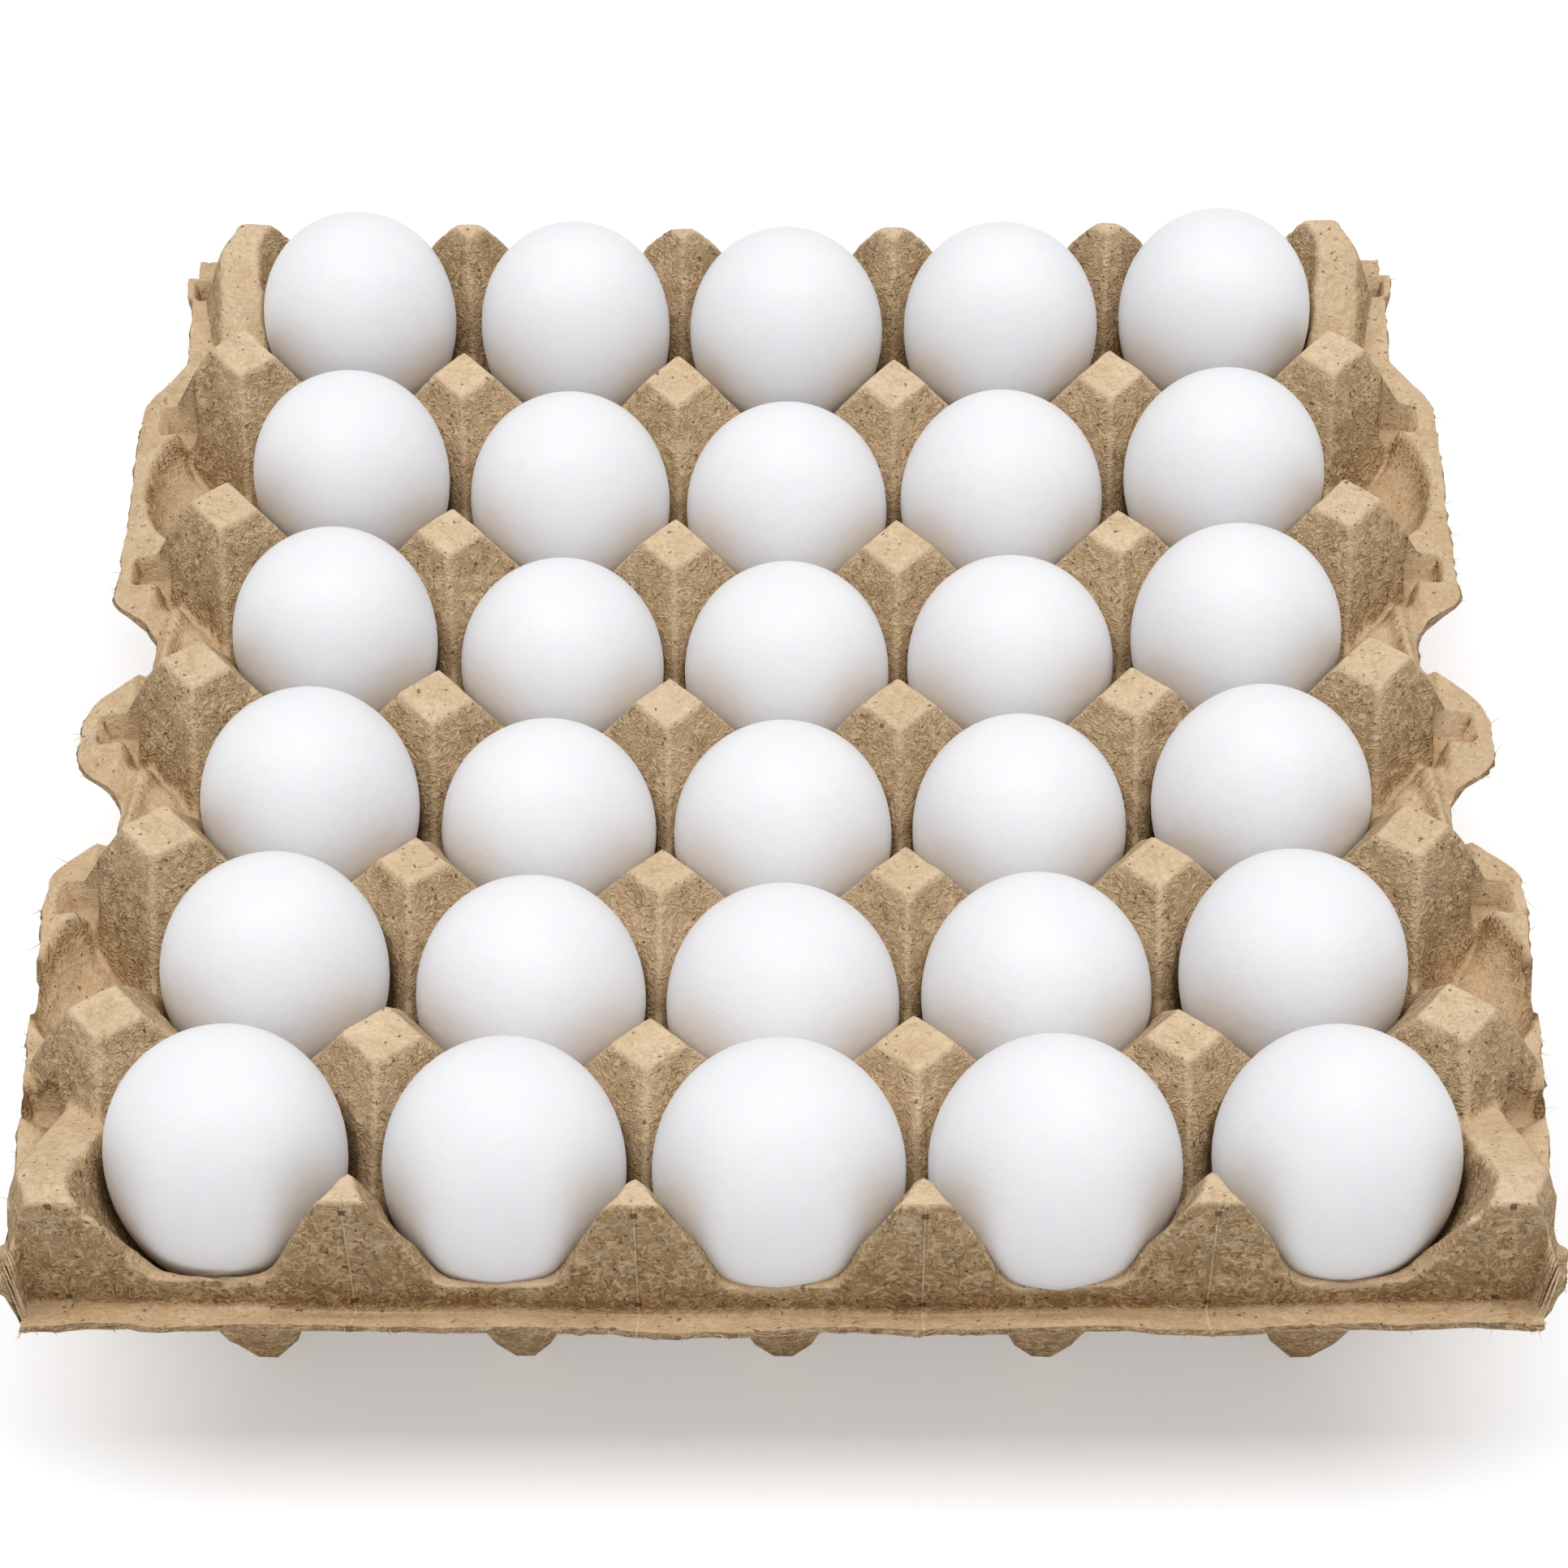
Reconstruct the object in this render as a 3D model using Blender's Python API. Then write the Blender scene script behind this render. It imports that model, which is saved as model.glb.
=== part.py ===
"""A moulded-pulp egg tray of five columns and six rows, holding thirty eggs.

+Z is up, X runs along the five columns and Y along the six rows, with -Y the front.
The origin is on the surface that the tray stands on, under its middle.
"""

import math
import random

import bmesh
import bpy

MM = 0.001

# Driving dimensions of the tray, in millimetres. Heights are read from the plane of the inner post tops.
COLUMNS = 5
ROWS = 6
PITCH_X = 50.0
PITCH_Y = 47.0
HALF_X = COLUMNS * PITCH_X / 2
HALF_Y = ROWS * PITCH_Y / 2
POST_HALF = 7.0
RIM_POST_TOP = 1.3
RIDGE_SLOPE = 1.25
FOOT_HALF = 4.5
CELL_FLOOR = -48.5
FLOOR_DEPTH = 1.5
FOOT_FLOOR = 2.5
CAP_DEPTH = 2.5
WALL_DEPTH = 4.2
LIP_DEPTH = 2.2

# The front and back edges: half posts cut by a drafted face, a sill at its foot and a thin lip outside.
CUT_Y = 137.5
SILL_Y = 140.2
LIP_Y = 145.0
SILL_HEIGHT = -22.0
LIP_HEIGHT = -24.5
ARCH_HALF = 4.4
ARCH_SLOPE = 2.2

# A block stands in each corner, level with the posts. Beside the corner egg it falls slowly to the next post's foot.
BLOCK_X = 118.0
BLOCK_Y = 128.0
BLOCK_HEIGHT = 0.5
BLOCK_SLOPE = 3.0
BLOCK_SIDE_X = 134.5
BLOCK_SIDE_SLOPE = 2.9
BLOCK_FALL = 0.55

# The side edges: a crest runs out from each side post to a flange, with a pocket beside the second row from each end.
SIDE_X = HALF_X + POST_HALF
CREST_X = 142.0
FLANGE_X = 151.0
CREST_SLOPE = 1.55
FLANGE_HEIGHT = -17.0
FLANGE_EDGE_HEIGHT = -18.0
FLANGE_INNER_DROP = 3.5
POCKET_X = 131.0
POCKET_Y = 70.5
POCKET_DEPTH = 8.0
POCKET_REACH_X = 17.0
POCKET_REACH_Y = 18.0

# The flange's outline: two notches on each long side, a slow taper to the front and a short one to the back.
NOTCH_DEPTH = 11.5
NOTCH_BACK_Y = 19.5
NOTCH_FRONT_Y = -28.5
NOTCH_FLAT = 3.0
NOTCH_HALF = 17.0
FRONT_TAPER = 0.09
FRONT_TAPER_GROWTH = 0.00085
FRONT_TAPER_FROM_Y = 40.0
BACK_TAPER = 9.5
BACK_TAPER_FROM_Y = 90.0
BACK_TAPER_TO_Y = 112.0

# The loaded tray is warped like a dish: its middle hangs lower than its edges, and its long sides curve in.
# Its feet all stand on the floor, so they are longer toward the edges.
SAG_MIDDLE = 22.5
SAG_SIDES = 10.1
SAG_ENDS = 2.7
SAG_MOST = 20.6
WAIST = 5.0
REST_HEIGHT = 76.0

# Eggs stand point down. They sit deeper in the middle of the tray and toward its front.
EGG_RADIUS = 22.3
EGG_TOP_RATIO = 1.13
EGG_POINT_RATIO = 1.38
EGG_RADIUS_SPREAD = 0.25
EGG_SLIM_SIDES = 1.3
EGG_SEAT = 8.5
EGG_SEAT_MIDDLE = 7.5
EGG_SEAT_FRONT = 1.5
EGG_SHIFT = 0.4
EGG_TILT = 0.03
EGG_SIDES = 10
EGG_RINGS = 6
EGG_CLEARANCE = 3.0
SEED = 30


def clear_scene():
    for old in list(bpy.data.objects):
        bpy.data.objects.remove(old, do_unlink=True)


def material(name, colour, roughness):
    made = bpy.data.materials.new(name)
    made.use_nodes = True
    shader = made.node_tree.nodes["Principled BSDF"]
    shader.inputs["Base Color"].default_value = (*colour, 1.0)
    shader.inputs["Roughness"].default_value = roughness
    shader.inputs["Metallic"].default_value = 0.0
    return made


def edge_share(value, half):
    """1 - t squared, where t runs from 0 in the middle to 1 on the outermost posts."""
    t = min(abs(value) / half, 1.1)
    return 1 - t * t


def sag(x, y):
    across = edge_share(x, HALF_X)
    along = edge_share(y, HALF_Y)
    drop = SAG_MIDDLE * across * along + SAG_SIDES * along * (1 - across) + SAG_ENDS * across * (1 - along)
    return min(drop, SAG_MOST)


def warped(x, y, z):
    """A point of the flat tray, moved to where the warped one has it, in metres."""
    waist = WAIST * edge_share(y, HALF_Y) * x / HALF_X
    return ((x - waist) * MM, y * MM, (z - sag(x, y) + REST_HEIGHT) * MM)


def between(low, value, high):
    return max(low, min(value, high))


def smooth(value, low, high):
    t = between(0.0, (value - low) / (high - low), 1.0)
    return t * t * (3 - 2 * t)


def post_offset(value, half, pitch):
    """The distance to the nearest line of posts, of which the outermost stand at plus and minus half."""
    offset = abs((value + half + pitch / 2) % pitch - pitch / 2)
    return max(offset, abs(value) - half)


def post_distance(x, y):
    """The distance to the nearest post, measured so that a post's four-cornered top is level."""
    return post_offset(x, HALF_X, PITCH_X) + post_offset(y, HALF_Y, PITCH_Y)


def cell_middle(x, y):
    column = between(0, math.floor((x + HALF_X) / PITCH_X), COLUMNS - 1)
    row = between(0, math.floor((y + HALF_Y) / PITCH_Y), ROWS - 1)
    return (column + 0.5) * PITCH_X - HALF_X, (row + 0.5) * PITCH_Y - HALF_Y


def egg_seat(x, y):
    """How far the widest part of the egg at x, y lies below the inner post tops."""
    middle = EGG_SEAT_MIDDLE * edge_share(x, HALF_X) * edge_share(y, HALF_Y)
    return EGG_SEAT + middle - EGG_SEAT_FRONT * y / HALF_Y


def egg_bowl(x, y):
    """The surface that stays clear of the lower half of the egg in the cell around x, y."""
    middle_x, middle_y = cell_middle(x, y)
    reach = EGG_RADIUS + EGG_CLEARANCE
    share = math.hypot(x - middle_x, y - middle_y) / reach
    if share >= 1:
        return BLOCK_HEIGHT
    depth = EGG_RADIUS * EGG_POINT_RATIO * math.sqrt(1 - share * share)
    return -egg_seat(middle_x, middle_y) - depth - EGG_CLEARANCE


def side_height(x, y):
    """Outside the side posts: each crest falls to the flange, and a block's side to the flange beside it."""
    block = BLOCK_HEIGHT - BLOCK_SIDE_SLOPE * max(0.0, abs(x) - BLOCK_SIDE_X)
    block -= BLOCK_FALL * max(0.0, BLOCK_Y - abs(y))
    crest = RIM_POST_TOP - CREST_SLOPE * max(0.0, post_distance(x, y) - POST_HALF)
    inner = between(0.0, (SIDE_X - abs(x)) / POST_HALF, 1.0) * FLANGE_INNER_DROP
    edge = between(0.0, (abs(x) - CREST_X) / (FLANGE_X - CREST_X), 1.0)
    across = (abs(x) - POCKET_X) / POCKET_REACH_X
    along = (abs(y) - POCKET_Y) / POCKET_REACH_Y
    pocket = POCKET_DEPTH * max(0.0, 1 - across * across - along * along)
    flange = FLANGE_HEIGHT - inner - pocket + edge * (FLANGE_EDGE_HEIGHT - FLANGE_HEIGHT)
    return max(block, crest, flange)


def ridge_height(x, y):
    """Posts and the ridges between them, down to the cells' floors."""
    rim = abs(x) > HALF_X - PITCH_X / 2
    top = RIM_POST_TOP if rim or abs(y) > HALF_Y - PITCH_Y / 2 else 0.0
    ridge = top - RIDGE_SLOPE * max(0.0, post_distance(x, y) - POST_HALF)
    inward = max(0.0, BLOCK_Y - abs(y), BLOCK_X - abs(x))
    return max(ridge, BLOCK_HEIGHT - BLOCK_SLOPE * inward, CELL_FLOOR)


def arch_height(x):
    """The upper edge of the front and back faces, which falls from each half post to the sill."""
    if abs(x) > BLOCK_X:
        return BLOCK_HEIGHT
    drop = max(0.0, post_offset(x, HALF_X, PITCH_X) - ARCH_HALF) * ARCH_SLOPE
    return RIM_POST_TOP - drop


def top_height(x, y):
    """The upper surface of the flat tray."""
    if abs(x) > HALF_X + 1:
        height = side_height(x, y)
    else:
        height = ridge_height(x, y)
    if abs(y) > CUT_Y - 1:
        height = min(height, max(arch_height(x), ridge_height(x, y) - POST_HALF))
    if abs(y) > CUT_Y + 1:
        share = between(0.0, (abs(y) - SILL_Y) / (LIP_Y - SILL_Y), 1.0)
        height = SILL_HEIGHT + share * (LIP_HEIGHT - SILL_HEIGHT)
    return min(height, egg_bowl(x, y))


def shell_depth(x, y):
    """The depth of material under the upper surface, measured straight down."""
    if abs(x) > SIDE_X + 1 or abs(y) > SILL_Y - 1:
        return LIP_DEPTH
    slope = between(0.0, (post_distance(x, y) - POST_HALF) / POST_HALF, 1.0)
    return CAP_DEPTH + slope * (WALL_DEPTH - CAP_DEPTH)


def in_foot(x, y, half):
    middle_x, middle_y = cell_middle(x, y)
    return max(abs(x - middle_x), abs(y - middle_y)) < half + 0.01


def flange_reach(y):
    """How far out the flange's edge lies."""
    if y < 0:
        beyond = max(0.0, -y - FRONT_TAPER_FROM_Y)
        taper = FRONT_TAPER * beyond + FRONT_TAPER_GROWTH * beyond * beyond
    else:
        taper = BACK_TAPER * smooth(y, BACK_TAPER_FROM_Y, BACK_TAPER_TO_Y)
    from_notch = min(abs(y - NOTCH_BACK_Y), abs(y - NOTCH_FRONT_Y))
    notch = NOTCH_DEPTH * (1 - smooth(from_notch, NOTCH_FLAT, NOTCH_HALF))
    return FLANGE_X - taper - notch


def plan_point(x, y):
    """A grid point outside the side posts moves in with the flange's edge."""
    if abs(x) <= SIDE_X:
        return x, y
    share = (abs(x) - SIDE_X) / (FLANGE_X - SIDE_X)
    return math.copysign(SIDE_X + share * (flange_reach(y) - SIDE_X), x), y


def upper_point(x, y):
    """The upper side. In the middle of each cell it runs down into the foot."""
    point = warped(*plan_point(x, y), top_height(x, y))
    if in_foot(x, y, 0.0):
        return (point[0], point[1], FOOT_FLOOR * MM)
    return point


def lower_point(x, y):
    """The underside. The flat feet share the floor, whatever the sag leaves between them."""
    height = max(top_height(x, y) - shell_depth(x, y), CELL_FLOOR - FLOOR_DEPTH)
    point = warped(*plan_point(x, y), height)
    if in_foot(x, y, FOOT_HALF):
        return (point[0], point[1], 0.0)
    return point


def post_lines(count, pitch, steps):
    """Grid lines on both sides of each line of posts, at the given steps from it."""
    half = count * pitch / 2
    lines = set()
    for index in range(count + 1):
        post = index * pitch - half
        for step in steps:
            for line in (post - step, post + step):
                if abs(line) <= half + POST_HALF:
                    lines.add(round(line, 4))
    return sorted(lines)


def grid_lines(steps_x, steps_y):
    across = [-FLANGE_X, -CREST_X, *post_lines(COLUMNS, PITCH_X, steps_x), CREST_X, FLANGE_X]
    inner = [y for y in post_lines(ROWS, PITCH_Y, steps_y) if abs(y) < CUT_Y]
    along = [-LIP_Y, -SILL_Y, -CUT_Y, *inner, CUT_Y, SILL_Y, LIP_Y]
    return across, along


def tilts_forward(x, y):
    """Whether the square around x, y is split so that its diagonal runs around the nearest post."""
    side_x = ((x + HALF_X) / PITCH_X + 0.5) % 1.0 - 0.5
    side_y = ((y + HALF_Y) / PITCH_Y + 0.5) % 1.0 - 0.5
    return side_x * side_y < 0


def sheet(mesh, across, along, point, upward):
    """One side of the shell, as rows of vertices joined by triangles."""
    rows = [[mesh.verts.new(point(x, y)) for x in across] for y in along]
    for row in range(len(along) - 1):
        for column in range(len(across) - 1):
            a, b = rows[row][column], rows[row][column + 1]
            d, c = rows[row + 1][column], rows[row + 1][column + 1]
            middle_x = (across[column] + across[column + 1]) / 2
            middle_y = (along[row] + along[row + 1]) / 2
            if tilts_forward(middle_x, middle_y):
                pieces = [(a, b, c), (a, c, d)]
            else:
                pieces = [(a, b, d), (b, c, d)]
            for piece in pieces:
                mesh.faces.new(piece if upward else tuple(reversed(piece)))
    return rows


def sides(rows):
    """The four edges of a sheet, anticlockwise from above, each from corner to corner."""
    front = rows[0]
    right = [row[-1] for row in rows]
    back = rows[-1][::-1]
    left = [row[0] for row in rows][::-1]
    return front, right, back, left


def edge_wall(mesh, above, below):
    """Join one edge of the upper sheet to the same edge of the lower one, whose points differ in number."""
    along_x = abs(above[-1].co.x - above[0].co.x) > abs(above[-1].co.y - above[0].co.y)
    axis = 0 if along_x else 1
    start = above[0].co[axis]
    high, low = 0, 0
    while high < len(above) - 1 or low < len(below) - 1:
        if low == len(below) - 1:
            step_high = True
        elif high == len(above) - 1:
            step_high = False
        else:
            gone_high = abs(above[high + 1].co[axis] - start)
            gone_low = abs(below[low + 1].co[axis] - start)
            step_high = gone_high <= gone_low
        if step_high:
            mesh.faces.new((above[high], below[low], above[high + 1]))
            high += 1
        else:
            mesh.faces.new((above[high], below[low], below[low + 1]))
            low += 1


def build_tray(pulp):
    mesh = bmesh.new()
    foot_x = PITCH_X / 2 - FOOT_HALF
    foot_y = PITCH_Y / 2 - FOOT_HALF
    upper_steps_x = (0.0, POST_HALF, (POST_HALF + PITCH_X / 2) / 2, PITCH_X / 2)
    upper_steps_y = (0.0, POST_HALF, (POST_HALF + PITCH_Y / 2) / 2, PITCH_Y / 2)
    above = sheet(mesh, *grid_lines(upper_steps_x, upper_steps_y), upper_point, True)
    lower_steps_x = (0.0, POST_HALF, (POST_HALF + foot_x) / 2, foot_x)
    lower_steps_y = (0.0, POST_HALF, (POST_HALF + foot_y) / 2, foot_y)
    below = sheet(mesh, *grid_lines(lower_steps_x, lower_steps_y), lower_point, False)
    for edge_above, edge_below in zip(sides(above), sides(below)):
        edge_wall(mesh, edge_above, edge_below)
    data = bpy.data.meshes.new("tray")
    mesh.to_mesh(data)
    mesh.free()
    data.shade_smooth()
    data.set_sharp_from_angle(angle=math.radians(35))
    data.materials.append(pulp)
    tray = bpy.data.objects.new("tray", data)
    bpy.context.collection.objects.link(tray)


def egg_profile(radius):
    """Radius and height of each ring between the two poles, from the point up."""
    rings = []
    for step in range(1, EGG_RINGS):
        angle = math.pi * step / EGG_RINGS - math.pi / 2
        length = EGG_POINT_RATIO if angle < 0 else EGG_TOP_RATIO
        rings.append((radius * math.cos(angle), radius * length * math.sin(angle)))
    return rings


def egg_mesh(name, radius, shell):
    mesh = bmesh.new()
    point = mesh.verts.new((0, 0, -radius * EGG_POINT_RATIO * MM))
    crown = mesh.verts.new((0, 0, radius * EGG_TOP_RATIO * MM))
    rings = []
    for ring_radius, height in egg_profile(radius):
        ring = []
        for side in range(EGG_SIDES):
            turn = 2 * math.pi * side / EGG_SIDES
            where = (ring_radius * math.cos(turn) * MM, ring_radius * math.sin(turn) * MM, height * MM)
            ring.append(mesh.verts.new(where))
        rings.append(ring)
    for side in range(EGG_SIDES):
        after = (side + 1) % EGG_SIDES
        mesh.faces.new((point, rings[0][after], rings[0][side]))
        mesh.faces.new((crown, rings[-1][side], rings[-1][after]))
        for low, high in zip(rings, rings[1:]):
            mesh.faces.new((low[side], low[after], high[after]))
            mesh.faces.new((low[side], high[after], high[side]))
    data = bpy.data.meshes.new(name)
    mesh.to_mesh(data)
    mesh.free()
    data.shade_smooth()
    data.materials.append(shell)
    return data


def build_eggs(shell):
    rng = random.Random(SEED)
    for row in range(ROWS):
        for column in range(COLUMNS):
            x = (column - (COLUMNS - 1) / 2) * PITCH_X
            y = ((ROWS - 1) / 2 - row) * PITCH_Y
            outward = 1 - edge_share(x, HALF_X)
            toward_front = (1 - y / HALF_Y) / 2
            radius = EGG_RADIUS - EGG_SLIM_SIDES * outward * toward_front + rng.gauss(0, EGG_RADIUS_SPREAD)
            name = f"egg_r{row + 1}_c{column + 1}"
            egg = bpy.data.objects.new(name, egg_mesh(name, radius, shell))
            shift_x = rng.uniform(-1, 1) * EGG_SHIFT
            shift_y = rng.uniform(-1, 1) * EGG_SHIFT
            egg.location = warped(x + shift_x, y + shift_y, -egg_seat(x, y))
            egg.rotation_euler = (
                rng.uniform(-1, 1) * EGG_TILT,
                rng.uniform(-1, 1) * EGG_TILT,
                rng.uniform(0, 2 * math.pi),
            )
            bpy.context.collection.objects.link(egg)


def main():
    clear_scene()
    build_tray(material("pulp", (0.47, 0.36, 0.25), 0.95))
    build_eggs(material("eggshell", (0.86, 0.86, 0.85), 0.5))
    bpy.context.view_layer.update()


main()
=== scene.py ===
"""Thirty white eggs in an open tray of moulded pulp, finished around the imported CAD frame.

Lengths are in millimetres in the flat tray's own plan, with the post tops at height 0, until
they are warped to the loaded tray's shape. The frame itself is in metres.
"""

import math
import random

import bpy
import numpy as np
from mathutils import Matrix, Vector


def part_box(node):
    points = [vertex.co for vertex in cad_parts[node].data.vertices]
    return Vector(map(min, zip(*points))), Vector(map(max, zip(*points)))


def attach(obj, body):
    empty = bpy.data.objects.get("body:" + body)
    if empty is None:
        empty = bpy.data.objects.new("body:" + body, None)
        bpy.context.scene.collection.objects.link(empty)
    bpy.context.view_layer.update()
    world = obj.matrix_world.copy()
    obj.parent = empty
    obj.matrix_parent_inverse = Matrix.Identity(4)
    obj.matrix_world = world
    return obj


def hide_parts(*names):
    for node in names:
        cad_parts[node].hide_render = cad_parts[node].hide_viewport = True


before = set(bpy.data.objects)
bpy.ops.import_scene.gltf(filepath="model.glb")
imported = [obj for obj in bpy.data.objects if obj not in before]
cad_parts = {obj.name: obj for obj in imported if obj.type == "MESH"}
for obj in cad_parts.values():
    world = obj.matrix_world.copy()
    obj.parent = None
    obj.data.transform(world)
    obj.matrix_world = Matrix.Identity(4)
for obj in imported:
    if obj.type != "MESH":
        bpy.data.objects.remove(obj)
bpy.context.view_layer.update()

MM = 0.001

# The tray's layout, its sag under the load, and the waist of its long sides.
COLUMNS = 5
ROWS = 6
PITCH_X = 50.0
PITCH_Y = 47.0
HALF_X = COLUMNS * PITCH_X / 2
HALF_Y = ROWS * PITCH_Y / 2
REST_HEIGHT = 76.0
SAG_MIDDLE = 22.5
SAG_SIDES = 10.1
SAG_ENDS = 2.7
SAG_MOST = 20.6
WAIST = 5.0

# Posts, ridges and cells.
POST_HALF = 6.9
POST_EDGE = 0.18
POST_CORNER = 0.22
RIM_POST_TOP = 1.3
FRONT_POST_SHIFT = 4.0
POST_DOME = 0.004
POST_REACH = (9.0, 22.0)
POSTS_END = (119.0, 118.0)
BURIED = -60.0
RIDGE_SLOPE = 1.25
OUTER_SLOPE = 1.5
CELL_FLOOR = -48.5
FOOT_HALF = 5.0
FOOT_SLOPE = 3.2
FOOT_FLOOR = 2.4
FOOT_WALL = 1.8
WALL = 2.0

# Eggs in their cells.
EGG_RADIUS = 22.3
EGG_TOP_RATIO = 1.13
EGG_POINT_RATIO = 1.38
EGG_SEAT = 8.5
EGG_SEAT_MIDDLE = 7.5
EGG_SEAT_FRONT = 1.5
BOWL_CLEARANCE = 0.7
EGG_MARGIN = 0.5
PULP_BELOW_EGG = 1.0
EGG_SIDES = 64
EGG_RINGS = 44
EGG_SWELL = 0.09
EGG_NAMES = [
    f"egg_r{row}_c{column}" for row in range(1, ROWS + 1) for column in range(1, COLUMNS + 1)
]

# Front and back edges. A pair is where a change starts and where it ends.
CUT_Y = 137.5
FACE_SLOPE = 8.15
FACE_ENDS_X = (131.6, 133.8)
RIM_SLACK = 0.2
RIM_Y = 136.5
RIM_SLOPE = 1.2
RIM_ENDS_X = (129.5, 133.0)
SILL = -21.6
ARCH_HALF = 4.35
ARCH_SLOPE = 2.3
ARCH_SOFT = 0.3
ARCHES_END_X = 112.0
BACK_ARCH_HALF = 2.6
BACK_ARCH_SLOPE = 1.1
BACK_ARCH_SOFT = 1.6
BACK_ARCH_REACH = 9.5
BACK_ARCH_FALL = 1.9
BACK_CORNER_REACH = 111.0
CORNER_SLOPE = 2.25
BACK_CORNER_SLOPE = 0.85
CORNER_ARCH_X = 120.9
LIP_FOOT_Y = 141.2
LIP_Y = 146.1
LIP_HEIGHT = -27.1
LIP_DROOP = 1.1
LIP_DROOP_X = -18.0
LIP_DROOP_HALF = 160.0
LIP_RISE = 0.3
LIP_WAVE = 0.252
LIP_CORNER = 0.9
LIP_CORNER_X = (118.0, 132.0)

# Corner blocks, and the strips that fall from them beside the corner eggs.
BLOCK_TOP = -0.4
STRIP_X = 122.0
STRIP_FALL = 0.55
STRIP_FROM_Y = 131.0
STRIP_TURN = 1.1
STRIP_TURN_Y = (128.0, 134.0)
STRIP_INNER_SLOPE = 3.0
STRIP_BACK_EASE = 2.1
STRIP_BACK_Y = (116.0, 132.0)
STRIP_OUTER_X = 133.2
STRIP_OUTER_TURN = 4.3
STRIP_OUTER_TURN_Y = (128.0, 139.0)
STRIP_OUTER_SLOPE = 2.9
STRIP_SOFT = 0.9

# Side flanges: their edge in plan.
FLANGE_REACH = 151.0
FRONT_TAPER_Y = 40.0
FRONT_TAPER = 0.09
FRONT_TAPER_CURVE = 0.00085
BACK_STEP = 9.6
BACK_STEP_Y = (93.0, 111.0)
NOTCH_MIDDLES = (19.5, -28.5)
NOTCH_DEPTH = 11.4
NOTCH_HALF = (3.0, 17.0)
FRONT_LUG = 2.8
FRONT_LUG_Y = (135.5, 143.5)
BACK_LUG = 1.6
BACK_LUG_Y = (130.5, 138.0)
LUG_SOFT = 1.0
TAB = 1.0
TAB_MIDDLE = -4.5
TAB_HALF = (2.0, 9.0)

# Side flanges: their surface.
FLANGE = -17.0
FLANGE_EDGE_X = 143.0
FLANGE_EDGE_FALL = 0.12
FLANGE_DIP = 3.6
FLANGE_DIP_X = (127.0, 139.5)
FLANGE_ROOT_X = 126.5
FLANGE_ROOT_SLOPE = 1.35
FLANGE_TURN = 9.4
FLANGE_TURN_Y = (137.0, 144.0)
POCKET_X, POCKET_Y = 135.6, 70.2
POCKET_HALF_X, POCKET_HALF_Y = 12.4, 19.0
POCKET_DEPTH = 11.0
POCKET_ROUNDNESS = 0.62
SHELF = -19.3
SHELF_Y = (36.0, 46.0)
SHELF_OUTER_X = 141.5
SHELF_DIP = 1.4
SHELF_DIP_X = (126.0, 132.0)
RIB_X = 137.0
RIB_HEIGHT = 2.6
RIB_HALF = 1.7
RIB_SKEW = 0.05
VALLEY_X, VALLEY_Y = 127.0, -15.0
VALLEY_RUN = 10.0 / 17.0
VALLEY_DEPTH = 6.0
VALLEY_HALF = 3.953488
VALLEY_SPAN = (125.0, 141.0, 3.0, 2.0)

# Recesses at the ends of the side crests, by row line: inner and outer x, then front and back y
# from that line. The last one, near each back corner, has its y from the middle of the tray.
RECESSES = {
    -2: (135.6, 141.8, -10.5, -5.0),
    -1: (139.5, 147.3, -6.6, 0.4),
    0: (139.8, 148.2, -6.6, 0.4),
    1: (139.5, 147.5, -6.6, 0.4),
    2: (138.1, 146.2, -6.6, 0.4),
}
RECESS_FLOOR = -24.0
RECESS_FLOOR_SLOPE = 0.4
RECESS_FLAT = 3.5
RECESS_EDGE = 0.22
RECESS_INNER_EDGE = 0.5
RECESS_OUTER_EDGE = 0.35
RECESS_FRONT_EDGE = 1.0
BACK_RECESS = (137.4, 140.9, 130.8, 136.3)
BACK_RECESS_EDGE = 0.4

# A tear in the sill of the front left cell.
CRACK = (
    (-103.5, -138.1), (-99.0, -138.9), (-95.5, -140.2), (-92.5, -140.6), (-90.3, -139.6), (-89.3, -138.2),
)
CRACK_FADE = (-102.75, -89.0, 1.75, 0.5)
CRACK_DEPTH = 1.5
CRACK_HALF = 0.42
CRACK_LIFT = 0.8

# Grid lines of the tray's mesh: how far from a line of posts each spacing holds, and how many lines.
BESIDE_X = (0.0, 9.6, 16.0, PITCH_X / 2)
BESIDE_X_LINES = (12, 5, 5)
BESIDE_Y = (0.0, 9.6, 15.6, PITCH_Y / 2)
BESIDE_Y_LINES = (12, 5, 4)
OUTER_CELL_Y = 116.6
EDGE_X = 129.0
EDGE_Y = 141.6
EDGE_X_LINES = 27
FACE_LINES = (136.8, 141.5, 0.29)
LIP_LINES = (141.7, 146.0, 7)

CAMERA_PLACE = (0.00604, -0.42222, 0.48841)
CAMERA_TILT = 0.8262
CAMERA_YAW = -0.0151
CAMERA_ROLL = -0.0125
CAMERA_LENS = 67.14

# Loose fibres on the cut edge.
FIBRES = 650
SIDE_EDGE_X = 130.0
END_EDGE_Y = 140.0

rng = np.random.default_rng(30)
POST_SHIFT = rng.normal(0.0, 0.22, (2, ROWS + 1, COLUMNS + 1))
POST_SIZE = rng.normal(0.0, 0.25, (ROWS + 1, COLUMNS + 1))
POST_TOP = rng.normal(0.0, 0.2, (ROWS + 1, COLUMNS + 1))
POST_LEAN = rng.normal(0.0, 0.02, (2, ROWS + 1, COLUMNS + 1))
LATTICE = rng.uniform(-1.0, 1.0, (48, 48, 48))


# ---------------------------------------------------------------- form


def step(v, low, high):
    t = np.clip((v - low) / (high - low), 0.0, 1.0)
    return t * t * (3 - 2 * t)


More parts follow.
